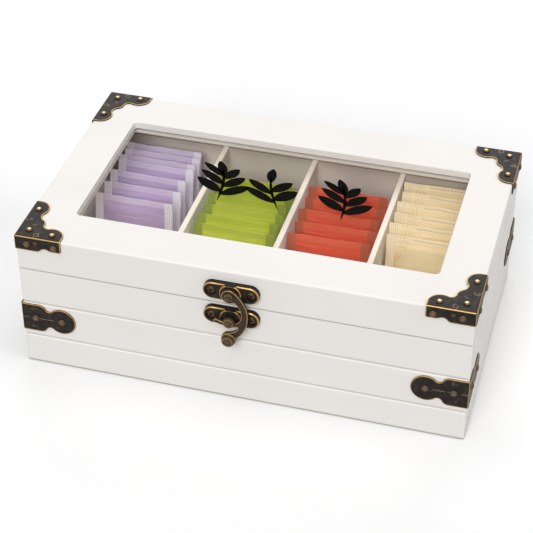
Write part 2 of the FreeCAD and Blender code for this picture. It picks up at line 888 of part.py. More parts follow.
def sachet_height():
    """The sachets stand a little lower than the dividers once they lean."""
    lean = math.radians(sachet_lean)
    room = base_top - divider_drop - sachet_drop - floor_thickness - sachet_lift
    return (room - sachet_paper * math.sin(lean)) / math.cos(lean)


def sachet():
    """One paper sachet, upright: flat seals at its sides and ends and a belly between them."""
    half = sachet_width() / 2
    height = sachet_height()
    inner = half - sachet_seal
    skin = sachet_paper / 2
    belly = sachet_belly / 2
    across = [
        line_to((-inner, -skin)),
        arc_to((0, -belly), (inner, -skin)),
        line_to((half, -skin)),
        line_to((half, skin)),
        line_to((inner, skin)),
        arc_to((0, belly), (-inner, skin)),
        line_to((-half, skin)),
        line_to((-half, -skin)),
    ]
    plan = outline(lambda x, y: vec(x, y, 0), (-half, -skin), across).extrude(vec(0, 0, height))
    belly_low_share, belly_high_share = 0.22, 0.55
    upright = [
        line_to((skin, 0)),
        line_to((skin, sachet_seal / 2)),
        line_to((belly, height * belly_low_share)),
        line_to((belly, height * belly_high_share)),
        line_to((skin, height - sachet_seal)),
        line_to((skin, height)),
        line_to((-skin, height)),
        line_to((-skin, height - sachet_seal)),
        line_to((-belly, height * belly_high_share)),
        line_to((-belly, height * belly_low_share)),
        line_to((-skin, sachet_seal / 2)),
        line_to((-skin, 0)),
    ]
    side = outline(lambda y, z: vec(-half, y, z), (-skin, 0), upright).extrude(vec(half + half, 0, 0))
    return plan.common(side)


def sachet_row(ends, aside_share, back_gap, pitches):
    """A row of sachets that lean back a little, from the back one forwards."""
    left, right = ends
    play = (right - left - sachet_width()) / 2 - sachet_shift
    middle = (left + right) / 2 + play * aside_share
    one = sachet()
    one.rotate(vec(0, 0, 0), vec(1, 0, 0), -sachet_lean)
    low = floor_thickness + sachet_lift - one.BoundBox.ZMin
    depth = inner_half_depth - back_gap
    copies = []
    for n, pitch in enumerate([0] + pitches):
        copy = one.copy()
        depth -= pitch
        shift = sachet_shift if n % 2 else -sachet_shift
        copy.translate(vec(middle + shift, depth, low))
        copies.append(copy)
    return Part.makeCompound(copies)


# The pieces, each in its own file

nodes = {}

walls = carcase(base_wall_profile(), ["front_wall", "right_wall", "back_wall", "left_wall"])
rails = carcase(lid_rail_profile(), ["lid_front_rail", "lid_right_rail", "lid_back_rail", "lid_left_rail"])
base_nail_cut = all_corners([nail_holes(base_nail_sites())])
lid_nail_cut = all_corners([nail_holes(lid_nail_sites())])
housings = [divider(place, False) for place in divider_places]
for name in walls:
    walls[name] = walls[name].cut(base_nail_cut)
for name in ("front_wall", "back_wall"):
    walls[name] = walls[name].cut(housings)
walls["front_wall"] = walls["front_wall"].cut(plate_screw_holes(post_level))
walls["back_wall"] = walls["back_wall"].cut(hinge_cut())
rails["lid_front_rail"] = rails["lid_front_rail"].cut(plate_screw_holes(pivot_level))
rails["lid_back_rail"] = rails["lid_back_rail"].cut(over_seam(hinge_cut()))
nodes.update(walls)
nodes.update(rails)
nodes["lid_top_board"] = lid_top().cut(lid_nail_cut)
nodes["window_glass"] = window_glass()
nodes.update(glass_beads())
nodes["floor_panel"] = floor_panel()
for name, place in zip(("left", "middle", "right"), divider_places):
    nodes["divider_" + name] = divider(place, True)

corner_piece = lid_corner_piece().cut(nail_holes(lid_nail_sites()))
strap_piece = base_strap().cut(nail_holes(base_nail_sites()))
for corner, shape in four_corners(corner_piece).items():
    nodes["lid_corner_" + corner] = shape
for corner, shape in four_corners(strap_piece).items():
    nodes["base_strap_" + corner] = shape
nodes["lid_corner_nails"] = all_corners(nails(lid_nail_sites()))
nodes["base_strap_nails"] = all_corners(nails(base_nail_sites()))

nodes["pivot_plate"] = latch_plate(pivot_level)
nodes["catch_plate"] = latch_plate(post_level)
nodes["pivot_plate_screws"] = Part.makeCompound(plate_screws(pivot_level))
nodes["catch_plate_screws"] = Part.makeCompound(plate_screws(post_level))
nodes["pivot_pin"] = headed_stud(
    pin_radius, pin_head_radius, pin_head_height, stud_seat, front_face, latch_place, pivot_level)
nodes["catch_post"] = headed_stud(
    post_neck_radius, post_head_radius, post_head_height, stud_seat, front_face, latch_place, post_level)
nodes["latch_hook"] = latch_hook()
nodes["latch_knob"] = latch_knob()

for side, place in (("left", -hinge_place), ("right", hinge_place)):
    nodes["hinge_base_leaf_" + side] = hinge_leaf(place, False)
    nodes["hinge_lid_leaf_" + side] = over_seam(hinge_leaf(place, True))
    nodes["hinge_pin_" + side] = hinge_pin_at(place)
nodes["hinge_base_screws"] = Part.makeCompound(hinge_screws())
nodes["hinge_lid_screws"] = over_seam(Part.makeCompound(hinge_screws()))

pitches = [lavender_pitches, green_pitches, red_pitches, cream_pitches]
rows = zip(compartments(), sachet_aside_shares, sachet_back_gaps, pitches)
for name, row in zip(sachet_names, rows):
    nodes[name] = sachet_row(*row)

for name, shape in nodes.items():
    shape.exportStep("parts/" + name + ".step")
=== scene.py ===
"""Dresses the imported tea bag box: painted boards, aged fittings, glass and paper sachets."""
import json
import math
import random

import bmesh
import bpy
from bpy.props import FloatProperty, FloatVectorProperty, PointerProperty
from mathutils import Matrix, Vector, noise

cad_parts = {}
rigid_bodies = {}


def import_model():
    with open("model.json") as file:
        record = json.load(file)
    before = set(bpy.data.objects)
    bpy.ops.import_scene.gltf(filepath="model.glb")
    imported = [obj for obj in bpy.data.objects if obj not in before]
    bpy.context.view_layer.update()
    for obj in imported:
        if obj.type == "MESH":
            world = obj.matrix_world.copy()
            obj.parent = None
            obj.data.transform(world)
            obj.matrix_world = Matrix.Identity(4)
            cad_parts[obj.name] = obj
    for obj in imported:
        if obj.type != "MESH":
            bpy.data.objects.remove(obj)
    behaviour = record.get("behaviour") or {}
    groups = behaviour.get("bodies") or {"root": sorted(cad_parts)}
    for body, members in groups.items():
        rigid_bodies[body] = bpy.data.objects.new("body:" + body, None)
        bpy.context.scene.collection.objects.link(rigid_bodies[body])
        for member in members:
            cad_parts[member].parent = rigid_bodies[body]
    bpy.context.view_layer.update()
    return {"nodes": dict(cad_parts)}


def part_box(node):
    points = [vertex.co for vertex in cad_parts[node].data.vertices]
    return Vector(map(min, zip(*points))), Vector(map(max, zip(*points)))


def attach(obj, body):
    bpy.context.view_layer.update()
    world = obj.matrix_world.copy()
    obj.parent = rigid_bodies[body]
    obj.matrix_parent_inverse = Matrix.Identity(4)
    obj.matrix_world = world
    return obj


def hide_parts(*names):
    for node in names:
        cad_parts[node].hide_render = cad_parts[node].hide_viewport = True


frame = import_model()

bl_info = {
    "name": "Tea bag box",
    "version": (1, 0, 0),
    "blender": (4, 5, 0),
    "location": "View3D > Sidebar > Tea box",
    "description": "Finishes the boards, fittings, glass and sachets of a tea bag box",
    "category": "Object",
}

LID_CORNERS = ["lid_corner_" + c for c in ("front_left", "front_right", "back_left", "back_right")]
BASE_STRAPS = ["base_strap_" + c for c in ("front_left", "front_right", "back_left", "back_right")]

MM = 1000.0  # in a metre
SCREW_SEED = 5
SACHET_SEED = 40

# In metres
WELD = 0.000002  # vertices nearer than this are one
HEAD_FOOT = 0.0006  # depth of a nail or screw head in its plate
PLATE_BEVEL = 0.0008  # most depth of the slanted edge of a latch plate
SEAT_REACH = 0.0045  # radius round a screw where a latch plate stays dark
BOSS_REACH = 0.0078  # half width of the boss of a latch plate
SPRIG_MIDDLE = (0.004, -0.0125)  # place of the middle leaf ornament
INK_LIFT = 0.00004  # gap between the glass and the ink
INK_THICK = 0.00006
SACHET_PLAY = 0.0008  # how much narrower a sachet is than its solid
SACHET_FOOT = 0.0003  # how far it stands above its solid's foot
SACHET_TOP = 0.0009  # how much shorter it is than its solid
FLOOR_HALF = 8  # half the width of the floor

# In mm
INNER_FACES = (142.4, 84.4, 96.2)  # just past half the length, half the depth and the top of the inside
GROOVES = (22.76, 50.26, 77.76)  # levels of the shade in the two grooves and under the lid
GROOVE_REACH = 0.40  # half width of that shade
SKIN = 0.7  # depth of the outer skin of a bent sheet piece
ON_FACE = 0.3  # a place nearer than this to an outer face is on it

# Azimuth, elevation and spread in degrees. Azimuth 0 is the front and 90 the right.
LAMPS = {"front": (0, 38, 35), "above": (0, 88, 45), "side": (90, 30, 40), "behind": (190, 32, 40)}
WINDOW_LAMP = (15, 66, 20)


def colour_prop(name, description, default):
    return FloatVectorProperty(
        name=name, description=description, default=default, size=3, subtype="COLOR", min=0, max=1)


def length_prop(name, description, default):
    return FloatProperty(name=name, description=description, default=default, unit="LENGTH", precision=5)


def angle_prop(name, description, degrees):
    return FloatProperty(name=name, description=description, default=math.radians(degrees), unit="ROTATION")


def number_prop(name, description, default):
    return FloatProperty(name=name, description=description, default=default)


class PaintSettings(bpy.types.PropertyGroup):
    boards: colour_prop("Boards", "Colour of the painted outside", (0.885, 0.858, 0.824))
    shade: colour_prop("Shade", "Slightly duller patches of the same paint", (0.850, 0.824, 0.790))
    # The inside and divider colours are warmer and darker than the boards: painted shade and warm bounced
    # light inside the box.
    inside: colour_prop("Inside", "Colour of the inner faces of the walls and the lid", (0.83, 0.745, 0.655))
    dividers: colour_prop("Dividers", "Colour of the dividers and the floor panel", (0.86, 0.795, 0.71))
    # Painted shade: the dark line in the grooves, under the lid and along the foot of the walls.
    painted_shade: colour_prop("Groove_and_foot_shade", "Paint in the grooves and at the walls' foot", (0.374, 0.31312, 0.2607))


class MetalSettings(bpy.types.PropertyGroup):
    dark: colour_prop("Dark", "Deepest patina of the fittings", (0.010, 0.009, 0.008))
    brown: colour_prop("Brown", "Thinner patina of the fittings", (0.034, 0.025, 0.017))
    hook: colour_prop("Hook", "Patina of the cast hook", (0.052, 0.034, 0.021))
    turned: colour_prop("Turned", "Patina of the turned knobs and rivets", (0.135, 0.084, 0.042))
    gold: colour_prop("Gold", "Bare metal at worn edges", (0.45, 0.28, 0.10))
    etched: colour_prop("Etched", "Bare metal in the small stamped marks", (0.30, 0.185, 0.090))
    # Bronze is the colour of the painted highlight on a nail's crown.
    bronze: colour_prop("Bronze", "Crown of a nail", (0.76, 0.52, 0.27))
    rim: colour_prop("Rim", "Rim of a nail or screw", (0.105, 0.064, 0.034))
    edge: length_prop("Edge", "Radius of a rounded edge", 0.00020)
    rub: length_prop("Rub", "Width of the bare metal along an edge", 0.0009)
    nail_head: length_prop("Nail head", "Radius of a nail head", 0.0024)
    nail_rise: length_prop("Nail rise", "Height of a nail head", 0.0013)
    plate_screw_head: length_prop("Plate screw head", "Radius of a latch plate screw", 0.0027)
    plate_screw_rise: length_prop("Plate screw rise", "Height of a latch plate screw", 0.0011)
    hinge_screw_head: length_prop("Hinge screw head", "Radius of a hinge screw", 0.0022)
    hinge_screw_rise: length_prop("Hinge screw rise", "Height of a hinge screw", 0.0011)


class SachetSettings(bpy.types.PropertyGroup):
    lavender: colour_prop("Lavender", "Paper of the left row", (0.475, 0.365, 0.595))
    green: colour_prop("Green", "Paper of the second row", (0.55, 0.63, 0.042))
    red: colour_prop("Red", "Paper of the third row", (0.69, 0.072, 0.024))
    cream: colour_prop("Cream", "Paper of the right row", (0.88, 0.72, 0.44))
    seal: length_prop("Seal", "Width of a side seal", 0.006)
    belly: length_prop("Belly", "Thickness of a filled sachet", 0.0062)
    paper: length_prop("Paper", "Thickness of a sealed edge", 0.0006)
    lean: angle_prop("Lean", "How far the sachets lean back", 8.0)


class GlassSettings(bpy.types.PropertyGroup):
    tint: colour_prop("Tint", "Body colour of the glass", (0.030, 0.032, 0.030))
    ink: colour_prop("Ink", "Colour of the leaf ornament", (0.008, 0.008, 0.007))
    sprig_height: length_prop("Sprig height", "Height of one leaf ornament", 0.046)
    sprig_spacing: length_prop("Sprig spacing", "Distance between two leaf ornaments", 0.0425)
    sprig_slant: angle_prop("Sprig slant", "Sideways lean of the leaf ornaments", 16)


class StageSettings(bpy.types.PropertyGroup):
    floor: colour_prop("Floor", "Colour that the floor gives back to the box", (0.49, 0.49, 0.49))
    seen: colour_prop("Floor seen", "Colour of the floor as the camera sees it", (0.958, 0.958, 0.958))
    contact: number_prop("Contact", "Depth of the soft shade at the foot of the box", 0.20)
    contact_reach: length_prop("Contact reach", "Width of the soft shade at the foot of the box", 0.07)
    sky: number_prop("Sky", "Strength of the light from all round", 0.20)
    front: number_prop("Front", "Strength of the front lamp", 1.96)
    above: number_prop("Above", "Strength of the lamp overhead", 0.76)
    side: number_prop("Side", "Strength of the lamp on the right", 0.82)
    behind: number_prop("Behind", "Strength of the lamp behind the box", 0.60)
    window: number_prop("Window", "Strength of the lamp for what the window shows", 1.24)
    window_tint: colour_prop("Window tint", "Colour of the lamp for what the window shows", (1.0, 0.94, 0.86))
    lens: number_prop("Lens", "Focal length of the camera in mm", 110.50)
    place: FloatVectorProperty(
        name="Camera", description="Place of the camera", default=(0.232153, -0.871667, 0.724101),
        size=3, unit="LENGTH")
    azimuth: angle_prop("Azimuth", "Turn of the camera round the box", 15.354)
    elevation: angle_prop("Elevation", "Rise of the camera", 37.076)
    roll: angle_prop("Roll", "Tilt of the camera", 0.166)


class Line:
    """A node socket that takes part in Python expressions."""

    def __init__(self, finish, socket):
        self.finish = finish
        self.socket = socket

    def maths(self, operation, *values):
        return self.finish.node("ShaderNodeMath", {"operation": operation}, dict(enumerate(values)))

    def __add__(self, other):
        return self.maths("ADD", self, other)

    def __sub__(self, other):
        return self.maths("SUBTRACT", self, other)

    def __rsub__(self, other):
        return self.maths("SUBTRACT", other, self)

    def __mul__(self, other):
        return self.maths("MULTIPLY", self, other)

    def __gt__(self, other):
        return self.maths("GREATER_THAN", self, other)

    def __lt__(self, other):
        return self.maths("LESS_THAN", self, other)

    def __abs__(self):
        return self.maths("ABSOLUTE", self)

    def wave(self):
        return self.maths("SINE", self)

    def either(self, other):
        return self.maths("MAXIMUM", self, other)

    def lesser(self, other):
        return self.maths("MINIMUM", self, other)

    __radd__ = __add__
    __rmul__ = __mul__


class Finish:
    """The nodes of a new material, or of the world that is given as the holder."""

    def __init__(self, name, holder=None):
        self.holder = holder or bpy.data.materials.new(name)
        self.holder.use_nodes = True
        self.tree = self.holder.node_tree
        self.tree.nodes.clear()

    def node(self, kind, settings=None, inputs=None, output=0):
        made = self.tree.nodes.new(kind)
        for key, value in (settings or {}).items():
            setattr(made, key, value)
        for key, value in (inputs or {}).items():
            socket = made.inputs[key]
            if isinstance(value, Line):
                self.tree.links.new(value.socket, socket)
            elif socket.type == "RGBA":
                socket.default_value = (*value[:3], 1)
            else:
                socket.default_value = value
        return Line(self, made.outputs[output])

    def place(self):
        return self.node("ShaderNodeTexCoord", output="Object")

    def sheet(self, name):
        """A UV map, with its across and up values."""
        both = self.node("ShaderNodeUVMap", {"uv_map": name})
        return both, self.part(both, 0), self.part(both, 1)

    def part(self, vector, axis):
        return self.node("ShaderNodeSeparateXYZ", None, {0: vector}, axis)

    def stretch(self, vector, scale, turn=(0, 0, 0)):
        return self.node("ShaderNodeMapping", None, {"Vector": vector, "Scale": scale, "Rotation": turn})

    def cloud(self, vector, scale, detail=2.0, rough=0.5):
        inputs = {"Vector": vector, "Scale": scale, "Detail": detail, "Roughness": rough}
        return self.node("ShaderNodeTexNoise", None, inputs)

    def rise(self, value, low, high):
        """Smoothly 0 below low and 1 above high."""
        inputs = {"Value": value, "From Min": low, "From Max": high}
        return self.node("ShaderNodeMapRange", {"interpolation_type": "SMOOTHSTEP"}, inputs)

    def mark(self, name, output="Fac"):
        return self.node("ShaderNodeAttribute", {"attribute_name": name}, output=output)

    def blend(self, factor, first, second):
        return self.node("ShaderNodeMix", {"data_type": "RGBA"}, {0: factor, 6: first, 7: second}, 2)

    def relief(self, height, strength, depth):
        return self.node("ShaderNodeBump", None, {"Height": height, "Strength": strength, "Distance": depth})

    def coat(self, **inputs):
        """The shader itself. An underscore in a name stands for a space."""
        named = {key.replace("_", " "): value for key, value in inputs.items()}
        return self.node("ShaderNodeBsdfPrincipled", None, named)

    def seen(self):
        """1 for what the camera sees, in glass and metal too, and 0 for the light on the object."""
        seen = self.node("ShaderNodeLightPath", output="Is Camera Ray")
        for ray in ("Is Glossy Ray", "Is Transmission Ray"):
            seen = seen.either(self.node("ShaderNodeLightPath", output=ray))
        return seen

    def show(self, shader, kind="ShaderNodeOutputMaterial"):
        end = self.tree.nodes.new(kind)
        self.tree.links.new(shader.socket, end.inputs["Surface"])
        return self.holder


# Finishes

def scaled(colour, share, lift=0.0):
    """A colour made darker or lighter by a share, and paler by a lift."""
    return [min(1, c * share + lift) for c in colour]


def satin_paint(name, paint, outer, inner, run):
    """Satin paint with its own colour on inner faces, and a painted shade line in the grooves, under the lid
    and along the foot of a wall.

    The run stretches its faint brushing along the board.
    """
    finish = Finish(name)
    place = finish.place()
    patches = finish.rise(finish.cloud(place, 16, 3), 0.35, 0.7)
    brushing = finish.cloud(finish.stretch(place, run), 1, 3, 0.6)
    peel = finish.cloud(place, 900, 2)
    wear = patches * 0.5 + brushing * 0.25
    across, along, height = (finish.part(place, axis) * MM for axis in range(3))
    half_length, half_depth, top = INNER_FACES
    within = (abs(across) < half_length) * (abs(along) < half_depth) * (height < top)
    outside = finish.blend(wear, outer, paint.shade)
    # Inner faces take the warmer, darker inner colour: painted shade and warm bounced light inside the box.
    inside = finish.blend(wear, inner, scaled(inner, 0.96))
    # Painted shade: a dark line along the foot of a wall, in each groove and under the lid.
    painted_shade = (1 - finish.rise(height, 0.4, 1.9)) * 0.9
    for level in GROOVES:
        painted_shade = painted_shade.either(near(abs(height - level), GROOVE_REACH) * 0.50)
    return finish.show(finish.coat(
        Base_Color=finish.blend(painted_shade, finish.blend(within, outside, inside), paint.painted_shade),
        Roughness=0.44 + patches * 0.08 + peel * 0.08,
        Specular_IOR_Level=0.14,
        Normal=finish.relief(peel * 0.6 + brushing * 0.5, 0.10, 0.0003),
    ))


def window_glass(name, tint):
    """Clear float glass, thin enough that it is seen as a tint and a gloss."""
    finish = Finish(name)
    smear = finish.cloud(finish.place(), 22, 3)
    return finish.show(finish.coat(
        Base_Color=tint, Roughness=0.03 + smear * 0.03, Alpha=0.03 + smear * 0.03, Specular_IOR_Level=0.5))


def ornament_ink(name, colour):
    """Dry printed ink with a fine grain."""
    finish = Finish(name)
    grain = finish.cloud(finish.place(), 1500, 2)
    return finish.show(finish.coat(Base_Color=colour, Roughness=0.45 + grain * 0.2, Specular_IOR_Level=0.0))


def near(distance, reach):
    """1 within a distance and 0 past it, with a soft border."""
    return 1 - distance.finish.rise(distance, reach * 0.6, reach * 1.4)


def leaf_outline(across, along, middle, length, width, turn, reach=0.30):
    """The drawn outline of a small pointed leaf, in mm and degrees."""
    c, s = math.cos(math.radians(turn)), math.sin(math.radians(turn))
    x, y = across - middle[0], along - middle[1]
    length_way = x * c + y * s
    width_way = y * c - x * s
    share = length_way * (2 / length)
    border = (1 - share * share) * (width / 2)
    inside = abs(length_way) < length / 2
    return near(abs(abs(width_way) - border), reach) * inside


def stroke(across, along, start, end, reach):
    """A straight drawn line between two points in mm."""
    run = Vector(end) - Vector(start)
    way = run.normalized()
    x, y = across - start[0], along - start[1]
    beside = abs(x * -way.y + y * way.x)
    along_way = x * way.x + y * way.y
    return near(beside, reach) * (along_way > 0) * (along_way < run.length)


def bracket_marks(finish, out, back, down):
    """Small stamped leaves on the three faces of a lid corner piece."""
    top = down < ON_FACE
    marks = leaf_outline(out, back, (14.6, 4.3), 4.6, 3.2, 62) * top
    marks = marks.either(stroke(out, back, (14.2, 0.0), (13.6, 2.2), 0.22) * top)
    marks = marks.either(leaf_outline(out, back, (3.9, 19.2), 5.0, 2.4, 20) * top)
    marks = marks.either(stroke(out, back, (0.4, 21.6), (3.4, 18.6), 0.22) * top)
    marks = marks.either(stroke(out, back, (8.6, 12.4), (10.8, 15.2), 0.45) * top * 0.45)
    marks = marks.either(leaf_outline(out, down, (14.6, 4.8), 2.6, 1.8, 60) * (back < ON_FACE) * 0.7)
    return marks.either(leaf_outline(back, down, (19.0, 4.8), 2.6, 1.8, 60) * (out < ON_FACE) * 0.7)


def strap_marks(finish, out, back, level):
    """A thin line at mid height and a few tiny diamonds on both arms of a base strap."""
    arm = out.either(back)
    marks = near(abs(level), 0.24) * (abs(arm - 17.8) < 6.0).either(abs(arm - 2.8) < 2.8)
    for place, height in ((8.0, 7.4), (8.2, -7.4), (10.8, -8.0)):
        diamond = abs(abs(arm - place) + abs(level - height) - 0.9)
        marks = marks.either(near(diamond, 0.25) * 0.55)
    return marks


def aged_metal(name, metal, low_tone, high_tone, stamped=None):
    """Dark patina over brass, rubbed through along the edges and folds and in a few scratches."""
    finish = Finish(name)
    place = finish.place()
    mottle = finish.cloud(place, 260, 4, 0.65)
    speck = finish.cloud(place, 1500, 2)
    hair = finish.cloud(finish.stretch(place, (2600, 260, 700), (0.3, 0.5, 0.9)), 1, 2)
    cross = finish.cloud(finish.stretch(place, (240, 2300, 600), (0.7, 0.2, 0.5)), 1, 2)
    patch = finish.rise(finish.cloud(place, 120, 2), 0.52, 0.68)
    scratch = (finish.rise(hair, 0.66, 0.72).either(finish.rise(cross, 0.67, 0.73))) * patch
    worn = finish.rise(finish.mark("rubbed") + mottle * 0.5, 0.38, 0.86)
    skin = finish.blend(finish.rise(mottle, 0.42, 0.72), low_tone, high_tone)
    drawn = scratch * 0.35
    if stamped:
        corner = finish.mark("corner", "Vector")
        out, back, third = (finish.part(corner, axis) for axis in range(3))
        fold = out.either(back)
        if stamped is bracket_marks:
            fold = out.lesser(back).either(fold.lesser(third))
        folded = 1 - finish.rise(fold + mottle * 0.3, 0.68, 1.02)
        worn = worn.either(folded * (0.55 + mottle * 0.7))
        drawn = drawn.either(stamped(finish, out, back, third) * finish.rise(mottle, 0.30, 0.52))
    tone = finish.blend(drawn, skin, metal.etched)
    return finish.show(finish.coat(
        Base_Color=finish.blend(worn, tone, metal.gold),
        Metallic=0.16 + worn * 0.74,
        Roughness=0.42 + speck * 0.12 - worn * 0.10,
        Specular_IOR_Level=0.20,
        Normal=finish.relief(mottle * 0.7 + speck * 0.3, 0.20, 0.0003),
    ))


def nail_metal(name, metal, crown_tone):
    """Painted highlight on the crown, brown below it and painted shade at the foot."""
    finish = Finish(name)
    mottle = finish.cloud(finish.place(), 420, 3)
    crown = finish.mark("crown")
    # The crown mark paints the highlight; where it is near 0, at the foot of a head and in a screw's cross
    # recess, painted shade darkens the metal.
    painted_highlight = finish.rise(crown + mottle * 0.16, 0.40, 0.95)
    foot = finish.blend(finish.rise(crown, 0.0, 0.10), metal.dark, metal.rim)
    return finish.show(finish.coat(
        Base_Color=finish.blend(painted_highlight, foot, crown_tone),
        Metallic=0.35 + painted_highlight * 0.60,
        Roughness=0.38 - painted_highlight * 0.12 + mottle * 0.08,
        Specular_IOR_Level=0.20,
        Normal=finish.relief(mottle, 0.15, 0.0002),
    ))


def sachet_paper(name, face, seal, crimp, band, print_marks):
    """Coated paper: crimped seals at the sides and the top, soft creases with a painted sheen, painted shade
    low on the face and a faint print.
    """
    finish = Finish(name)
    flat, across, up = finish.sheet("paper")
    place = finish.place()
    from_middle = abs(across - 0.5)
    side_seal, top_seal, border = 0.396, 0.938, 0.004
    sides = finish.rise(from_middle, side_seal - border, side_seal + border)
    ridges = (across * 250.0).wave()
    rows = (up * 330.0).wave()
    top = finish.rise(up, top_seal - border, top_seal + border)
    fibre = finish.cloud(place, 700, 3)
    haze = finish.cloud(finish.stretch(place, (18, 30, 60)), 1, 3)
    crease_and_sheen = finish.cloud(finish.stretch(flat, (3, 24, 1)), 1, 3)
    tone = finish.blend(finish.rise(haze, 0.35, 0.7) * 0.5, face, scaled(face, 0.84))
    # Painted highlight: the creases are made paler, as sheen.
    tone = finish.blend(finish.rise(crease_and_sheen, 0.53, 0.66) * 0.36, tone, scaled(face, 1.12, 0.10))
    # Painted shade: the face darkens below its top, where the sachet in front shades it.
    tone = finish.blend((1 - finish.rise(up, 0.82, 0.93)) * 0.35, tone, scaled(face, 0.75))
    tone = finish.blend(top * 0.6, tone, band)
    tone = print_marks(finish, tone, flat, across, up)
    edge_tone = finish.blend(finish.rise(ridges, -0.2, 1.0), seal, crimp)
    tone = finish.blend(sides * 0.9, tone, edge_tone)
    line = near(abs(from_middle - side_seal), 0.004).either(near(abs(up - top_seal), 0.003))
    crimped = ridges * sides * 0.18 + rows * top * 0.08
    return finish.show(finish.coat(
        Base_Color=finish.blend(line * 0.26, tone, scaled(face, 0.6)),
        Roughness=0.42 + fibre * 0.15,
        Normal=finish.relief(crease_and_sheen * 0.8 + fibre * 0.25 + crimped, 0.5, 0.0006),
    ))


def plain_print(finish, tone, flat, across, up):
    """No marks."""
    return tone


def thin_line_print(colour):
    """A short broken line of pale marks in the upper middle of the face."""
    def marks(finish, tone, flat, across, up):
        row = near(abs(up - 0.80), 0.005).either(near(abs(up - 0.68), 0.007))
        middle = abs(across - 0.46) < 0.20
        broken = finish.rise(finish.cloud(flat, 60, 2), 0.48, 0.58)
        return finish.blend(row * middle * broken * 0.65, tone, colour)
    return marks


def stitched_print(dark, leaf, gold):
    """A dotted line under the top edge, a faint leafy band beside the left seal and a golden patch."""
    def marks(finish, tone, flat, across, up):
        dots = near(abs(up - 0.972), 0.008) * ((across * 150.0).wave() > -0.1) * (across > 0.34)
        leafy = finish.rise(finish.cloud(finish.stretch(flat, (46, 30, 1)), 1, 2), 0.52, 0.62)
        strip = near(abs(across - 0.21), 0.055)
        patch = finish.rise(finish.cloud(finish.stretch(flat, (7, 9, 1)), 1, 3), 0.36, 0.60)
        patch = patch * near(abs(across - 0.16), 0.07) * (1 - finish.rise(up, 0.76, 0.86))
        tone = finish.blend(strip * leafy * 0.30, tone, leaf)
        tone = finish.blend(patch * 0.75, tone, gold)
        return finish.blend(dots * 0.45, tone, dark)
    return marks


# Shapes

def welded(node):
    """A merged bmesh copy of a CAD node, with its flat faces whole again."""
    form = bmesh.new()
    form.from_mesh(frame["nodes"][node].data)
    bmesh.ops.remove_doubles(form, verts=form.verts[:], dist=WELD)
    bmesh.ops.dissolve_limit(form, angle_limit=math.radians(1), verts=form.verts[:], edges=form.edges[:])
    bmesh.ops.recalc_face_normals(form, faces=form.faces[:])
    return form


def shells(form):
    """The separate shells of a mesh, each as a list of vertices."""
    left = set(form.verts)
    found = []
    while left:
        waiting = [left.pop()]
        shell = []
        while waiting:
            vert = waiting.pop()
            shell.append(vert)
            beside = {edge.other_vert(vert) for edge in vert.link_edges} & left
            left -= beside
            waiting.extend(beside)
        found.append(shell)
    return found


def span(verts):
    """The lowest and highest corner round some vertices."""
    low = Vector(min(v.co[i] for v in verts) for i in range(3))
    high = Vector(max(v.co[i] for v in verts) for i in range(3))
    return low, high


def mesh_of(name, form):
    """Turns a finished shape into a mesh."""
    mesh = bpy.data.meshes.new(name)
    form.to_mesh(mesh)
    form.free()
    return mesh


def put(name, data):
    """A new object in the scene."""
    made = bpy.data.objects.new(name, data)
    bpy.context.scene.collection.objects.link(made)
    return made


def add_piece(name, form, body, slot, material, replaces, crisp=35):
    """Makes the object of a finished shape on its body and hides the CAD nodes that it stands in for."""
    mesh = mesh_of(name, form)
    mesh.materials.append(material)
    mesh.shade_smooth()
    mesh.set_sharp_from_angle(angle=math.radians(crisp))
    piece = put(name, mesh)
    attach(piece, body)
    if replaces:
        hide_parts(*replaces)
    return piece


def stamp(target, source, places):
    """Moves one shape into another, once at each place. The other holds stamped shapes only, or is empty."""
    mesh = mesh_of("stamp", source)
    for place in places:
        count = len(target.verts)
        target.from_mesh(mesh)
        target.verts.ensure_lookup_table()
        bmesh.ops.transform(target, matrix=place, verts=target.verts[count:])
    bpy.data.meshes.remove(mesh)


def raised(form):
    """Extrudes all faces of a flat shape by nothing and gives the new vertices."""
    made = bmesh.ops.extrude_face_region(form, geom=form.faces[:], use_keep_orig=True)
    return [part for part in made["geom"] if isinstance(part, bmesh.types.BMVert)]


def lathe(points, steps):
    """A closed turned shape from (radius, height) points on the Z axis."""
    form = bmesh.new()
    verts = [form.verts.new((radius, 0, height)) for radius, height in points]
    edges = [form.edges.new(pair) for pair in zip(verts, verts[1:])]
    bmesh.ops.spin(form, geom=verts + edges, cent=(0, 0, 0), axis=(0, 0, 1), angle=math.tau,
                   steps=steps, use_merge=True, use_duplicate=False)
    bmesh.ops.remove_doubles(form, verts=form.verts[:], dist=WELD)
    bmesh.ops.recalc_face_normals(form, faces=form.faces[:])
    return form


def dome_points(radius, rise, count):
    """The outline of a domed head with a low rim, from under its middle to its crown."""
    lip = rise * 0.16
    shank = radius * 0.5
    points = [(0, -HEAD_FOOT), (shank, -HEAD_FOOT), (shank, 0), (radius, 0), (radius, lip)]
    for n in range(1, count + 1):
        angle = math.pi / 2 * n / count
        points.append((radius * math.cos(angle), lip + (rise - lip) * math.sin(angle)))
    points[-1] = (0, rise)
    return points


def mark_verts(form, name, value_of):
    """Keeps a value of each vertex's place under a name that a finish can read."""
    layer = form.verts.layers.float.new(name)
    for vert in form.verts:
        vert[layer] = value_of(vert.co)


def mark_corner(form, node):
    """Keeps how far each vertex lies in from its node's outer corner, and below its top or middle, in mm."""
    low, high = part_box(node)
    layer = form.verts.layers.float_vector.new("corner")
    for vert in form.verts:
        away = []
        for axis in (0, 1):
            outer = low[axis] if low[axis] + high[axis] < 0 else high[axis]
            away.append(abs(vert.co[axis] - outer) * MM)
        level = high.z if node in LID_CORNERS else (low.z + high.z) / 2
        vert[layer] = (*away, (level - vert.co.z) * MM)


def seen_faces(form, node):
    """The outer skin of a bent sheet piece, or the front of a cast or turned one."""
    corner = form.verts.layers.float_vector.get("corner")
    if corner is None:
        return [face for face in form.faces if face.normal.y < -0.98]
    count = 3 if node in LID_CORNERS else 2
    return [face for face in form.faces if max(min(vert[corner][:count]) for vert in face.verts) < SKIN]


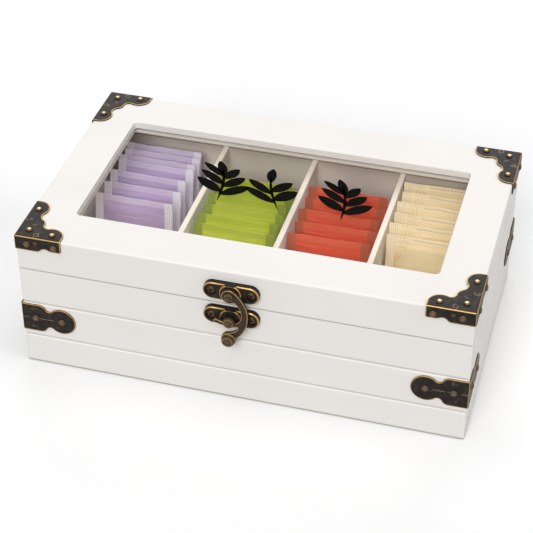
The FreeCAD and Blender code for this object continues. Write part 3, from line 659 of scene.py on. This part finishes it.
def rubbed_copy(node, width, radius, bareness):
    """A CAD node with rounded edges. The bareness of a place is its rubbed mark, on and beside the edges."""
    form = welded(node)
    if node in LID_CORNERS + BASE_STRAPS:
        mark_corner(form, node)
    rubbed = form.loops.layers.float.new("rubbed")

    def rub(faces, spared=()):
        for face in faces:
            for loop in face.loops:
                loop[rubbed] = 0.0 if loop.vert in spared else bareness(loop.vert.co)

    seen = seen_faces(form, node)
    ring = bmesh.ops.inset_region(form, faces=seen, thickness=width, use_boundary=True, use_even_offset=True)
    rub(ring["faces"], {vert for face in seen for vert in face.verts})
    if node.endswith("_plate"):
        # The slanted edge of a latch plate is rubbed over its whole width.
        for face in form.faces:
            depths = [vert.co.y for vert in face.verts]
            if 0.3 < -face.normal.y < 0.9 and max(depths) - min(depths) < PLATE_BEVEL:
                rub([face])
    sharp = [edge for edge in form.edges if edge.is_manifold and edge.is_convex
             and edge.calc_face_angle() > math.radians(30)]
    rounded = bmesh.ops.bevel(form, geom=sharp, offset=radius, offset_type="OFFSET", segments=2,
                              profile=0.5, affect="EDGES", material=-1, clamp_overlap=True)
    rub(rounded["faces"])
    bmesh.ops.triangulate(form, faces=[face for face in form.faces if len(face.verts) > 4])
    return form


def fasteners(node, rise):
    """The seat and outward turn of each nail or screw of a CAD node."""
    form = welded(node)
    places = []
    for shell in shells(form):
        low, high = span(shell)
        size = high - low
        axis = max(range(3), key=lambda i: size[i])
        middle = (low + high) / 2
        heavy = sum(v.co[axis] for v in shell) / len(shell)
        outward = Vector()
        outward[axis] = 1.0 if heavy > middle[axis] else -1.0
        seat = middle + outward * (size[axis] / 2 - rise)
        turn = outward.to_track_quat("Z", "Y").to_matrix().to_4x4()
        places.append(Matrix.Translation(seat) @ turn)
    form.free()
    # Shells come in any order, so that of the places is set here.
    places.sort(key=lambda place: tuple(round(c, 5) for c in place.translation))
    return places


def cross_cut(radius, rise):
    """A cross recess cut into the top of a screw head, as a mesh to subtract."""
    form = bmesh.new()
    length, width, height = radius * 1.25, radius * 0.34, rise * 1.5
    for turn in (0, math.pi / 2):
        bar = Matrix.Rotation(turn, 4, "Z") @ Matrix.Translation((0, 0, rise))
        bmesh.ops.create_cube(form, size=1, matrix=bar @ Matrix.Diagonal((length, width, height, 1)))
    return form


def subtracted(form, cutter):
    """The first shape less the second."""
    blank, tool = (put("cut", mesh_of("cut", shape)) for shape in (form, cutter))
    modifier = blank.modifiers.new("cut", "BOOLEAN")
    modifier.operation = "DIFFERENCE"
    modifier.solver = "EXACT"
    modifier.use_self = True
    modifier.object = tool
    solid = blank.evaluated_get(bpy.context.evaluated_depsgraph_get())
    left = bmesh.new()
    left.from_mesh(solid.to_mesh())
    solid.to_mesh_clear()
    for thing in (blank, tool):
        bpy.data.meshes.remove(thing.data)
    return left


def sachet_form(width, height, settings, chance):
    """One filled sachet, flat at its seals, standing on its lower edge with its front towards -Y."""
    form = bmesh.new()
    bmesh.ops.create_grid(form, x_segments=30, y_segments=36, size=0.5)
    front = set(raised(form))
    paper = form.loops.layers.uv.new("paper")
    for face in form.faces:
        for loop in face.loops:
            loop[paper].uv = (loop.vert.co.x + 0.5, loop.vert.co.y + 0.5)
    seed = Vector((chance.uniform(0, 50), chance.uniform(0, 50), 0))
    inner = 0.5 - settings.seal / width
    fold = chance.uniform(0.84, 0.89)
    for vert in form.verts:
        across, up = vert.co.x, vert.co.y + 0.5
        side = -1 if vert in front else 1
        place = Vector((across * width, up * height, 0)) * MM
        # The belly swells between the side seals, fast above the lower seal and slowly below the top one.
        wide = max(0, 1 - (across / inner) ** 2) ** 0.7
        low = min(1, max(0, (up - 0.04) / 0.20))
        high = min(1, max(0, (0.93 - up) / 0.42))
        swell = wide * math.sin(low * math.pi / 2) * math.sin(high * math.pi / 2) ** 1.2
        filling = (settings.belly / 2 - settings.paper) * swell * chance.uniform(0.985, 1.0)
        thick = settings.paper / 2 + filling
        # The sheet sways as a whole, is dented by the tea, ridged at its fold and ruffled at its top edge.
        sway = noise.noise(place * 0.035 + seed) * 0.0010 + noise.noise(place * 0.11 + seed) * 0.0003
        dent = noise.noise(place * 0.16 + seed * 2) * 0.0007 * swell
        ridge = math.exp(-((up - fold) / 0.018) ** 2) * 0.0004 * wide
        ruffle = noise.noise(Vector((place.x * 0.12, 0, 3)) + seed) * 0.0005 * up ** 4
        vert.co = Vector((
            across * width + noise.noise(Vector((up * 4, 7, 0)) + seed) * 0.0004,
            sway + side * (thick + dent + ridge),
            up * height + ruffle,
        ))
    bmesh.ops.recalc_face_normals(form, faces=form.faces[:])
    return form


def leaf_form(length, width):
    """A flat pointed leaf that grows along +Y from the origin."""
    form = bmesh.new()
    bmesh.ops.create_circle(form, cap_ends=True, segments=28, radius=1)
    for vert in form.verts:
        x, y = vert.co.x, vert.co.y
        vert.co = Vector((x * abs(x) ** 0.55 * width / 2, (y + 1) * length / 2, 0))
    return form


def sprig_form(height, mirror, pairs):
    """A curved stem with pairs of leaves and one at its tip."""
    form = bmesh.new()
    stamp(form, leaf_form(height * 0.86, height * 0.05), [Matrix.Identity(4)])
    # Each pair of leaves is higher, smaller and more upright than the last.
    for n in range(pairs):
        at = height * (0.20 + 0.20 * n)
        size = height * (0.50 - 0.05 * n)
        places = []
        for side in (-1, 1):
            turn = Matrix.Rotation(side * math.radians(54 - 6 * n), 4, "Z")
            places.append(Matrix.Translation((0, at + side * height * 0.03, 0)) @ turn)
        stamp(form, leaf_form(size, size * 0.38), places)
    stamp(form, leaf_form(height * 0.36, height * 0.15), [Matrix.Translation((0, height * 0.66, 0))])
    for vert in form.verts:
        vert.co.x = mirror * (vert.co.x + 0.10 * height * math.sin(vert.co.y / height * 2.6))
    return form


def paint_node(node, material):
    """Gives a CAD node its finish."""
    for held in frame["nodes"][node].material_slots:
        held.material = material


class PaintBoards(bpy.types.Operator):
    """Give the boards, dividers and floor their satin paint"""
    bl_idname = "teabox.paint_boards"
    bl_label = "Paint boards"

    def execute(self, context):
        paint = context.scene.teabox_paint
        along_x = satin_paint("satin_paint_long", paint, paint.boards, paint.inside, (12, 300, 300))
        along_y = satin_paint("satin_paint_side", paint, paint.boards, paint.inside, (300, 12, 300))
        inside = satin_paint("satin_paint_inside", paint, paint.dividers, paint.dividers, (300, 300, 12))
        for node in ("front_wall", "back_wall", "lid_front_rail", "lid_back_rail", "lid_top_board"):
            paint_node(node, along_x)
        for node in ("left_wall", "right_wall", "lid_left_rail", "lid_right_rail"):
            paint_node(node, along_y)
        for node in ("divider_left", "divider_middle", "divider_right", "floor_panel", "glass_bead_front",
                     "glass_bead_right", "glass_bead_back", "glass_bead_left"):
            paint_node(node, inside)
        return {"FINISHED"}


class FitGlass(bpy.types.Operator):
    """Finish the window and print the leaf ornament on it"""
    bl_idname = "teabox.fit_glass"
    bl_label = "Fit glass"

    def execute(self, context):
        glass = context.scene.teabox_glass
        paint_node("window_glass", window_glass("window_glass", glass.tint))
        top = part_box("window_glass")[1].z
        form = bmesh.new()
        slant = Matrix.Shear("XZ", 4, (-math.tan(glass.sprig_slant), 0))
        across, along = SPRIG_MIDDLE
        for n, (mirror, pairs) in enumerate(((1, 3), (-1, 2), (1, 3))):
            place = Matrix.Translation(((n - 1) * glass.sprig_spacing + across, along, top + INK_LIFT))
            stamp(form, sprig_form(glass.sprig_height, mirror, pairs), [place @ slant])
        bmesh.ops.translate(form, verts=raised(form), vec=(0, 0, INK_THICK))
        bmesh.ops.recalc_face_normals(form, faces=form.faces[:])
        ink = ornament_ink("ornament_ink", glass.ink)
        add_piece("leaf_ornament", form, "lid", None, ink, [])
        return {"FINISHED"}


class DressFittings(bpy.types.Operator):
    """Round and rub the edges of the corner pieces, latch and hinges"""
    bl_idname = "teabox.dress_fittings"
    bl_label = "Dress fittings"

    def execute(self, context):
        metal = context.scene.teabox_metal
        aged = aged_metal("aged_metal", metal, metal.dark, metal.brown)
        bracket = aged_metal("bracket_metal", metal, metal.dark, metal.brown, bracket_marks)
        strap = aged_metal("strap_metal", metal, metal.dark, metal.brown, strap_marks)
        hook = aged_metal("hook_metal", metal, metal.brown, metal.hook)
        turned = aged_metal("turned_metal", metal, metal.hook, metal.turned)
        leaves = ["hinge_lid_leaf_left", "hinge_lid_leaf_right"]
        base_leaves = ["hinge_base_leaf_left", "hinge_base_leaf_right"]
        pins = ["hinge_pin_left", "hinge_pin_right"]
        # The fourth value is a share of the rubbed width.
        for body, finish, slot, share, nodes in (
                ("lid", bracket, "aged_bronze", 1.0, LID_CORNERS),
                ("box", strap, "aged_bronze", 1.0, BASE_STRAPS),
                ("lid", aged, "aged_bronze", 0.5, leaves + pins + ["pivot_plate"]),
                ("box", aged, "aged_bronze", 0.5, base_leaves + ["catch_plate"]),
                ("latch", hook, "aged_bronze", 0.7, ["latch_hook"]),
                ("latch", turned, "aged_bronze", 0.6, ["latch_knob"]),
                ("lid", turned, "bright_bronze", 0.4, ["pivot_pin"]),
                ("box", turned, "bright_bronze", 0.6, ["catch_post"])):
            for node in nodes:
                bareness = self.plate_bareness(node) if node.endswith("_plate") else lambda at: 1.0
                form = rubbed_copy(node, metal.rub * share, metal.edge, bareness)
                piece = add_piece(node + "_aged", form, body, slot, finish, [node])
                piece.modifiers.new("flat_faces", "WEIGHTED_NORMAL").keep_sharp = True
        return {"FINISHED"}

    def plate_bareness(self, node):
        """The edge of a latch plate is rubbed bright, by half round its boss and not at its screw seats."""
        seats = [place.translation for place in fasteners(node + "_screws", 0)]
        middle = (seats[0] + seats[1]) / 2

        def bareness(at):
            beside = min(math.hypot(at.x - seat.x, at.z - seat.z) for seat in seats)
            if beside < SEAT_REACH:
                return 0.0
            return 0.5 if abs(at.x - middle.x) < BOSS_REACH else 1.0
        return bareness


class DriveNails(bpy.types.Operator):
    """Make the domed nails of the corner pieces"""
    bl_idname = "teabox.drive_nails"
    bl_label = "Drive nails"

    def execute(self, context):
        metal = context.scene.teabox_metal
        bright = nail_metal("nail_metal", metal, metal.bronze)
        for node, body in (("lid_corner_nails", "lid"), ("base_strap_nails", "box")):
            form = bmesh.new()
            form.verts.layers.float.new("crown")
            for place in fasteners(node, metal.nail_rise):
                # A nail on top gets a small bright painted highlight at its crown, and one on a side a weak
                # one spread over its head.
                on_top = place.col[2].z > 0.5
                highlight_share, slope = (1.0, 5) if on_top else (0.45, 1)
                head = lathe(dome_points(metal.nail_head, metal.nail_rise, 5), 20)
                mark_verts(head, "crown", lambda at: max(0.0, at.z / metal.nail_rise) ** slope * highlight_share)
                stamp(form, head, [place])
            add_piece(node + "_domed", form, body, "bright_bronze", bright, [node])
        return {"FINISHED"}


class DriveScrews(bpy.types.Operator):
    """Make the cross head screws of the latch plates and hinges"""
    bl_idname = "teabox.drive_screws"
    bl_label = "Drive screws"

    def execute(self, context):
        metal = context.scene.teabox_metal
        brown = nail_metal("screw_metal", metal, metal.rim)
        chance = random.Random(SCREW_SEED)
        plate = (metal.plate_screw_head, metal.plate_screw_rise)
        hinge = (metal.hinge_screw_head, metal.hinge_screw_rise)
        for node, body, (radius, rise) in (
                ("pivot_plate_screws", "lid", plate), ("catch_plate_screws", "box", plate),
                ("hinge_lid_screws", "lid", hinge), ("hinge_base_screws", "box", hinge)):
            head = subtracted(lathe(dome_points(radius, rise, 6), 28), cross_cut(radius, rise))
            # The cross recess gets crown 0, which paints shade in it.
            mark_verts(head, "crown", lambda at: 0.0 if at.z < rise * 0.5 else at.z / rise)
            form = bmesh.new()
            form.verts.layers.float.new("crown")
            places = [place @ Matrix.Rotation(chance.uniform(0, math.pi), 4, "Z")
                      for place in fasteners(node, rise)]
            stamp(form, head, places)
            add_piece(node + "_crossed", form, body, "brown_screw", brown, [node])
        return {"FINISHED"}


class FillSachets(bpy.types.Operator):
    """Make the rows of paper sachets"""
    bl_idname = "teabox.fill_sachets"
    bl_label = "Fill sachets"

    def execute(self, context):
        settings = context.scene.teabox_sachets
        papers = {
            "lavender": sachet_paper(
                "lavender_paper", settings.lavender, seal=(0.80, 0.77, 0.83), crimp=(0.64, 0.60, 0.69),
                band=(0.66, 0.58, 0.72), print_marks=thin_line_print((0.85, 0.80, 0.45))),
            "green": sachet_paper(
                "green_paper", settings.green, seal=(0.29, 0.35, 0.04), crimp=(0.18, 0.24, 0.03),
                band=(0.40, 0.47, 0.04), print_marks=plain_print),
            "red": sachet_paper(
                "red_paper", settings.red, seal=(0.46, 0.11, 0.045), crimp=(0.28, 0.055, 0.025),
                band=(0.66, 0.13, 0.055), print_marks=thin_line_print((0.95, 0.62, 0.40))),
            "cream": sachet_paper(
                "cream_paper", settings.cream, seal=(0.88, 0.78, 0.56), crimp=(0.74, 0.60, 0.38),
                band=(0.90, 0.78, 0.54), print_marks=stitched_print(
                    dark=(0.14, 0.11, 0.08), leaf=(0.45, 0.34, 0.20), gold=(0.66, 0.40, 0.13))),
        }
        for row, (colour, paper) in enumerate(papers.items()):
            node = colour + "_sachets"
            chance = random.Random(SACHET_SEED + row)
            solid = welded(node)
            ends = sorted((span(shell) for shell in shells(solid)), key=lambda end: -end[0].y)
            form = bmesh.new()
            form.loops.layers.uv.new("paper")
            for low, high in ends:
                lean = settings.lean + math.radians(chance.uniform(-1.2, 0.6))
                height = (high.z - low.z) / math.cos(settings.lean) - SACHET_TOP
                one = sachet_form(high.x - low.x - SACHET_PLAY, height, settings, chance)
                foot = (high.y + low.y) / 2 - math.sin(settings.lean) * height / 2
                place = Matrix.Translation(((low.x + high.x) / 2, foot, low.z + SACHET_FOOT))
                twist = Matrix.Rotation(math.radians(chance.uniform(-1, 1)), 4, "Z")
                stamp(form, one, [place @ (Matrix.Rotation(-lean, 4, "X") @ twist)])
            solid.free()
            add_piece(node + "_folded", form, "box", colour + "_paper", paper, [node], crisp=60)
        return {"FINISHED"}


def direction(azimuth, elevation):
    """The way towards a lamp or the camera."""
    level = math.cos(elevation)
    return Vector((math.sin(azimuth) * level, -math.cos(azimuth) * level, math.sin(elevation)))


class SetStage(bpy.types.Operator):
    """Set the pale floor, the soft light and the camera"""
    bl_idname = "teabox.set_stage"
    bl_label = "Set stage"

    def execute(self, context):
        stage = context.scene.teabox_stage
        self.lay_floor(stage)
        self.light_room(context.scene, stage)
        for name, aim in LAMPS.items():
            self.hang_lamp(name, getattr(stage, name), *aim)
        self.light_window(stage)
        self.place_camera(context.scene, stage)
        context.scene.view_settings.view_transform = "Standard"
        return {"FINISHED"}

    def lay_floor(self, stage):
        """A floor that looks paler than what it gives back to the box, with soft shade at the box's foot."""
        form = bmesh.new()
        bmesh.ops.create_grid(form, x_segments=1, y_segments=1, size=FLOOR_HALF)
        finish = Finish("floor_paper")
        reach = {"Distance": stage.contact_reach}
        open_air = finish.node("ShaderNodeAmbientOcclusion", {"samples": 8}, reach, "AO")
        shaded = finish.blend((1 - open_air) * stage.contact, stage.seen, (0.0, 0.0, 0.0))
        colour = finish.blend(finish.seen(), stage.floor, shaded)
        floor = put("floor", mesh_of("floor", form))
        floor.data.materials.append(finish.show(finish.coat(
            Base_Color=colour, Roughness=0.9, Specular_IOR_Level=0.0)))

    def light_room(self, scene, stage):
        """Even light from all round, which the camera sees as plain white."""
        scene.world = scene.world or bpy.data.worlds.new("room")
        room = Finish("room", scene.world)
        strength = room.node("ShaderNodeMix", None, {0: room.seen(), 2: stage.sky, 3: 1.0})
        light = room.node("ShaderNodeBackground", None, {"Color": (1, 1, 1), "Strength": strength})
        room.show(light, "ShaderNodeOutputWorld")

    def hang_lamp(self, name, strength, azimuth, elevation, spread):
        lamp = bpy.data.lights.new("lamp_" + name, "SUN")
        lamp.energy = strength
        lamp.angle = math.radians(spread)
        hung = put("lamp_" + name, lamp)
        towards = direction(math.radians(azimuth), math.radians(elevation))
        hung.rotation_euler = towards.to_track_quat("Z", "Y").to_euler()
        return hung

    def light_window(self, stage):
        """A lamp for the sachets, dividers and floor panel only, in place of bounced light."""
        inside = bpy.data.collections.new("seen_through_window")
        for thing in bpy.data.objects:
            if thing.name.endswith("_folded"):
                inside.objects.link(thing)
        for node in ("divider_left", "divider_middle", "divider_right", "floor_panel"):
            inside.objects.link(frame["nodes"][node])
        lamp = self.hang_lamp("window", stage.window, *WINDOW_LAMP)
        lamp.data.color = stage.window_tint
        lamp.light_linking.receiver_collection = inside
        lamp.light_linking.blocker_collection = inside

    def place_camera(self, scene, stage):
        back = direction(stage.azimuth, stage.elevation)
        right = Vector((math.cos(stage.azimuth), math.sin(stage.azimuth), 0))
        turn = Matrix((right, back.cross(right), back)).transposed().to_4x4()
        camera = bpy.data.cameras.new("camera")
        camera.lens = stage.lens
        camera.sensor_width = 36
        holder = put("camera", camera)
        holder.matrix_world = Matrix.Translation(stage.place) @ turn @ Matrix.Rotation(stage.roll, 4, "Z")
        scene.camera = holder


class TeaBoxPanel(bpy.types.Panel):
    """Lists the steps that finish the box"""
    bl_idname = "VIEW3D_PT_teabox"
    bl_label = "Tea bag box"
    bl_space_type = "VIEW_3D"
    bl_region_type = "UI"
    bl_category = "Tea box"

    def draw(self, context):
        for step in STEPS:
            self.layout.operator(step.bl_idname)
        for group in GROUPS:
            settings = getattr(context.scene, group)
            for name in settings.__annotations__:
                self.layout.prop(settings, name)


GROUPS = {
    "teabox_paint": PaintSettings,
    "teabox_metal": MetalSettings,
    "teabox_sachets": SachetSettings,
    "teabox_glass": GlassSettings,
    "teabox_stage": StageSettings,
}
STEPS = [PaintBoards, FitGlass, DressFittings, DriveNails, DriveScrews, FillSachets, SetStage]


def register():
    for name, group in GROUPS.items():
        bpy.utils.register_class(group)
        setattr(bpy.types.Scene, name, PointerProperty(type=group))
    for step in STEPS + [TeaBoxPanel]:
        bpy.utils.register_class(step)


def unregister():
    for step in STEPS + [TeaBoxPanel]:
        bpy.utils.unregister_class(step)
    for name, group in GROUPS.items():
        delattr(bpy.types.Scene, name)
        bpy.utils.unregister_class(group)


def main():
    register()
    for step in STEPS:
        family, name = step.bl_idname.split(".")
        getattr(getattr(bpy.ops, family), name)()


if __name__ == "__main__":
    main()
